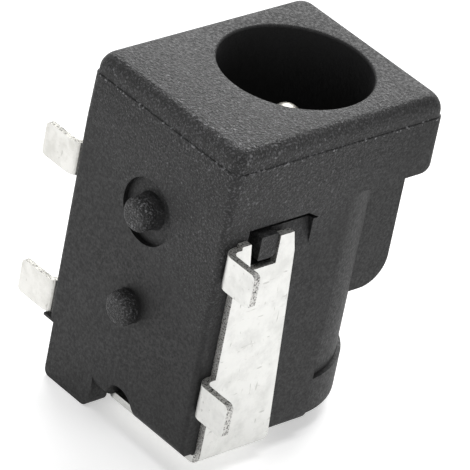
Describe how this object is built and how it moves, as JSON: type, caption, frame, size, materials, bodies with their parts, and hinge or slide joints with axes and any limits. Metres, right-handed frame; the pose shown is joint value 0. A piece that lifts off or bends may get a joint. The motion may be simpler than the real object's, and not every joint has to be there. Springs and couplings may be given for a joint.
{
  "type": "dc barrel jack",
  "caption": "Board-mounted power socket for a barrel plug: black moulded housing with a round bore, a riveted centre pin, side solder tabs and locating pegs.",
  "frame": {"origin": "where the plug axis meets the floor of the socket, which is the root of the centre pin", "axes": "+Z along the plug axis out of the mouth, -Y towards the board the jack is soldered to, +X towards the centre-pin terminal"},
  "size_m": [0.0132, 0.012, 0.0155],
  "materials": {
    "housing_plastic": "matt, finely grained",
    "pin_metal": "nickel plated, turned",
    "terminal_metal": "tin plated sheet",
    "spring_metal": "tin plated spring strip"
  },
  "bodies": {
    "root": {"housing": "housing_plastic", "centre_pin": "pin_metal", "pin_terminal": "terminal_metal", "sleeve_contact": "spring_metal", "switch_contact": "spring_metal"}
  },
  "joints": []
}
